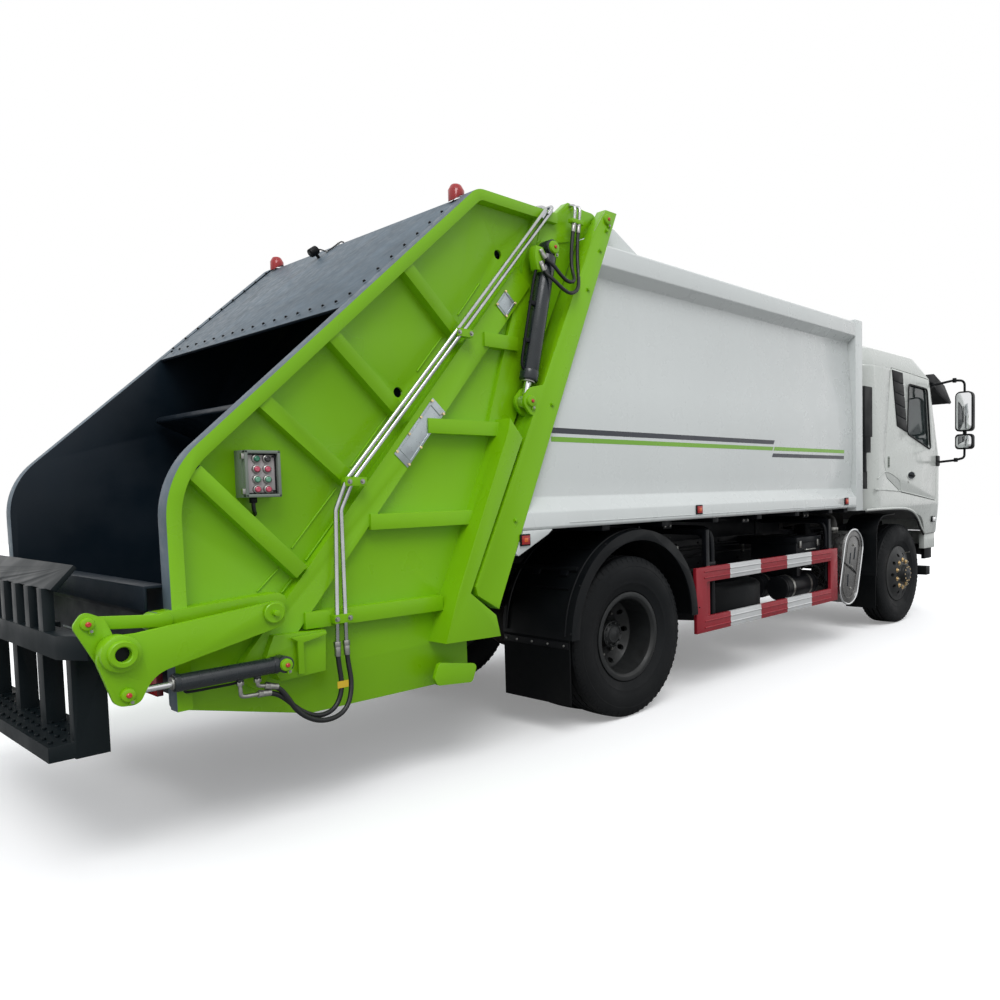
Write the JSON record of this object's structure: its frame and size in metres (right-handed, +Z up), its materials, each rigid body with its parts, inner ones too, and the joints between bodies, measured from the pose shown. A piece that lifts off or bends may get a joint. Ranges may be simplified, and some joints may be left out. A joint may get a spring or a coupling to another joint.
{
  "type": "garbage truck",
  "caption": "Rear-loading garbage truck with a raising tailgate, packer blades, bin lifter, tilting cab, opening doors and steered, turning wheels.",
  "frame": {"origin": "middle of the truck's length and width, on the road", "axes": "+X forward to the cab, +Y to the truck's left, +Z up"},
  "size_m": [9.098, 3.06, 3.2021],
  "materials": {
    "chassis_paint": "satin",
    "running_gear": "rough",
    "tyre": "matte",
    "wheel_white": "satin",
    "body_white": "gloss",
    "lime_green": "gloss",
    "hopper_dark": "satin",
    "canopy_grey": "matte",
    "lifter_dark": "satin",
    "cylinder_paint": "gloss",
    "rod_chrome": "polished",
    "plastic_black": "matte",
    "guard_red": "satin",
    "silver": "satin",
    "cab_white": "gloss",
    "glass": "polished",
    "trim_dark": "matte",
    "seat_cloth": "matte",
    "lamp": "gloss"
  },
  "bodies": {
    "truck": {"chassis_frame": "chassis_paint", "leaf_springs": "running_gear", "axles": "running_gear", "engine_block": "running_gear", "container_side_right": "body_white", "container_side_left": "body_white", "container_floor": "chassis_paint", "container_roof": "body_white", "container_bulkhead": "body_white", "container_rear_frame": "lime_green", "side_guards": "guard_red", "mudguards": "plastic_black", "fuel_tank": "silver", "exhaust_drum": "silver", "side_boxes": "silver", "spare_wheel": "tyre", "headlamps": "lamp", "front_bumper": "plastic_black", "air_intake": "plastic_black"},
    "knuckle_right": {"knuckle_right": "running_gear"},
    "knuckle_left": {"knuckle_left": "running_gear"},
    "tie_rod": {"tie_rod": "running_gear"},
    "front_wheel_right": {"front_tyre_right": "tyre", "front_rim_right": "wheel_white"},
    "front_wheel_left": {"front_tyre_left": "tyre", "front_rim_left": "wheel_white"},
    "rear_wheels_right": {"rear_tyres_right": "tyre", "rear_rims_right": "wheel_white"},
    "rear_wheels_left": {"rear_tyres_left": "tyre", "rear_rims_left": "wheel_white"},
    "cab": {"cab_glass": "glass", "cab_roof": "cab_white", "cab_front": "cab_white", "cab_rear_wall": "cab_white", "cab_sides": "cab_white", "cab_floor": "trim_dark", "dashboard": "trim_dark", "steering_wheel": "trim_dark", "seats": "seat_cloth", "mirrors": "plastic_black", "sun_visor": "plastic_black"},
    "door_right": {"door_right": "cab_white", "door_glass_right": "glass"},
    "door_left": {"door_left": "cab_white", "door_glass_left": "glass"},
    "tailgate": {"tailgate_side_right": "lime_green", "tailgate_side_left": "lime_green", "hopper_trough": "hopper_dark", "tailgate_canopy": "canopy_grey", "tailgate_fittings": "lime_green", "warning_lamps": "lamp"},
    "packer_carriage": {"packer_carriage": "hopper_dark"},
    "sweep_blade": {"sweep_blade": "hopper_dark"},
    "lift_barrels": {"lift_barrels": "cylinder_paint"},
    "lift_rods": {"lift_rods": "rod_chrome"},
    "lifter_arms": {"lifter_arms": "lime_green"},
    "lifter_frame": {"lifter_frame": "lifter_dark"},
    "lifter_links": {"lifter_links": "lime_green"},
    "lifter_barrels": {"lifter_barrels": "cylinder_paint"},
    "lifter_rods": {"lifter_rods": "rod_chrome"}
  },
  "joints": [
    {"name": "steer_right", "type": "hinge", "parent": "truck", "child": "knuckle_right", "pos_m": [3.12, -0.8, 0.527], "axis": [0, 0, 1], "range_deg": [-36, 36]},
    {"name": "steer_left", "type": "hinge", "parent": "truck", "child": "knuckle_left", "pos_m": [3.12, 0.8, 0.527], "axis": [0, 0, 1], "range_deg": [-36, 36]},
    {"name": "tie_rod_end", "type": "hinge", "parent": "knuckle_right", "child": "tie_rod", "pos_m": [2.94, -0.8, 0.488], "axis": [0, 0, 1], "range_deg": [-36, 36]},
    {"name": "front_wheel_right_turn", "type": "hinge", "parent": "knuckle_right", "child": "front_wheel_right", "pos_m": [3.12, -0.969, 0.527], "axis": [0, 1, 0], "continuous": true},
    {"name": "front_wheel_left_turn", "type": "hinge", "parent": "knuckle_left", "child": "front_wheel_left", "pos_m": [3.12, 0.969, 0.527], "axis": [0, 1, 0], "continuous": true},
    {"name": "rear_wheels_right_turn", "type": "hinge", "parent": "truck", "child": "rear_wheels_right", "pos_m": [-1.38, -0.901, 0.527], "axis": [0, 1, 0], "continuous": true},
    {"name": "rear_wheels_left_turn", "type": "hinge", "parent": "truck", "child": "rear_wheels_left", "pos_m": [-1.38, 0.901, 0.527], "axis": [0, 1, 0], "continuous": true},
    {"name": "cab_tilt", "type": "hinge", "parent": "truck", "child": "cab", "pos_m": [4.5, 0, 0.87], "axis": [0, 1, 0], "range_deg": [0, 45]},
    {"name": "door_right_hinge", "type": "hinge", "parent": "cab", "child": "door_right", "pos_m": [3.916, -1.19, 1.5], "axis": [0, 0, 1], "range_deg": [0, 70]},
    {"name": "door_left_hinge", "type": "hinge", "parent": "cab", "child": "door_left", "pos_m": [3.916, 1.19, 1.5], "axis": [0, 0, -1], "range_deg": [0, 70]},
    {"name": "tailgate_hinge", "type": "hinge", "parent": "truck", "child": "tailgate", "pos_m": [-1.599, 0, 3.127], "axis": [0, 1, 0], "range_deg": [0, 80]},
    {"name": "lift_barrel_pin", "type": "hinge", "parent": "tailgate", "child": "lift_barrels", "pos_m": [-2.048, 0, 2.873], "axis": [0, 1, 0], "range_deg": [-82, 0.5]},
    {"name": "lift_rod_slide", "type": "slide", "parent": "lift_barrels", "child": "lift_rods", "axis": [-0.2361, 0, -0.9717], "range_m": [0, 0.668]},
    {"name": "lifter_arm_pivot", "type": "hinge", "parent": "tailgate", "child": "lifter_arms", "pos_m": [-3.78, 0, 0.998], "axis": [0, 1, 0], "range_deg": [0, 37.5]},
    {"name": "lifter_frame_pivot", "type": "hinge", "parent": "lifter_arms", "child": "lifter_frame", "pos_m": [-4.365, 0, 0.92], "axis": [0, 1, 0], "range_deg": [0, 94]},
    {"name": "lifter_link_pin", "type": "hinge", "parent": "tailgate", "child": "lifter_links", "pos_m": [-4.18, 0, 1.011], "axis": [0, 1, 0], "range_deg": [0, 92]},
    {"name": "lifter_barrel_pin", "type": "hinge", "parent": "tailgate", "child": "lifter_barrels", "pos_m": [-3.73, 0, 0.765], "axis": [0, 1, 0], "range_deg": [0, 32]},
    {"name": "lifter_rod_slide", "type": "slide", "parent": "lifter_barrels", "child": "lifter_rods", "axis": [-1, 0, -0.0081], "range_m": [0, 0.14]},
    {"name": "packer_slide", "type": "slide", "parent": "tailgate", "child": "packer_carriage", "axis": [-0.6488, 0, -0.761], "range_m": [0, 0.8]},
    {"name": "sweep_blade_hinge", "type": "hinge", "parent": "packer_carriage", "child": "sweep_blade", "pos_m": [-2.83, 0, 1.745], "axis": [0, -1, 0], "range_deg": [0, 95]}
  ],
  "couplings": [
    {"joint": "steer_left", "follows": "steer_right", "ratio": 1},
    {"joint": "tie_rod_end", "follows": "steer_right", "ratio": -1},
    {"joint": "lift_barrel_pin", "follows": "tailgate_hinge", "ratio": -1.0166},
    {"joint": "lift_rod_slide", "follows": "tailgate_hinge", "m_per_rad": 0.47455},
    {"joint": "lifter_frame_pivot", "follows": "lifter_arm_pivot", "ratio": 2.4933},
    {"joint": "lifter_link_pin", "follows": "lifter_arm_pivot", "ratio": 2.4381},
    {"joint": "lifter_barrel_pin", "follows": "lifter_arm_pivot", "ratio": 0.84213},
    {"joint": "lifter_rod_slide", "follows": "lifter_arm_pivot", "m_per_rad": 0.2081}
  ]
}
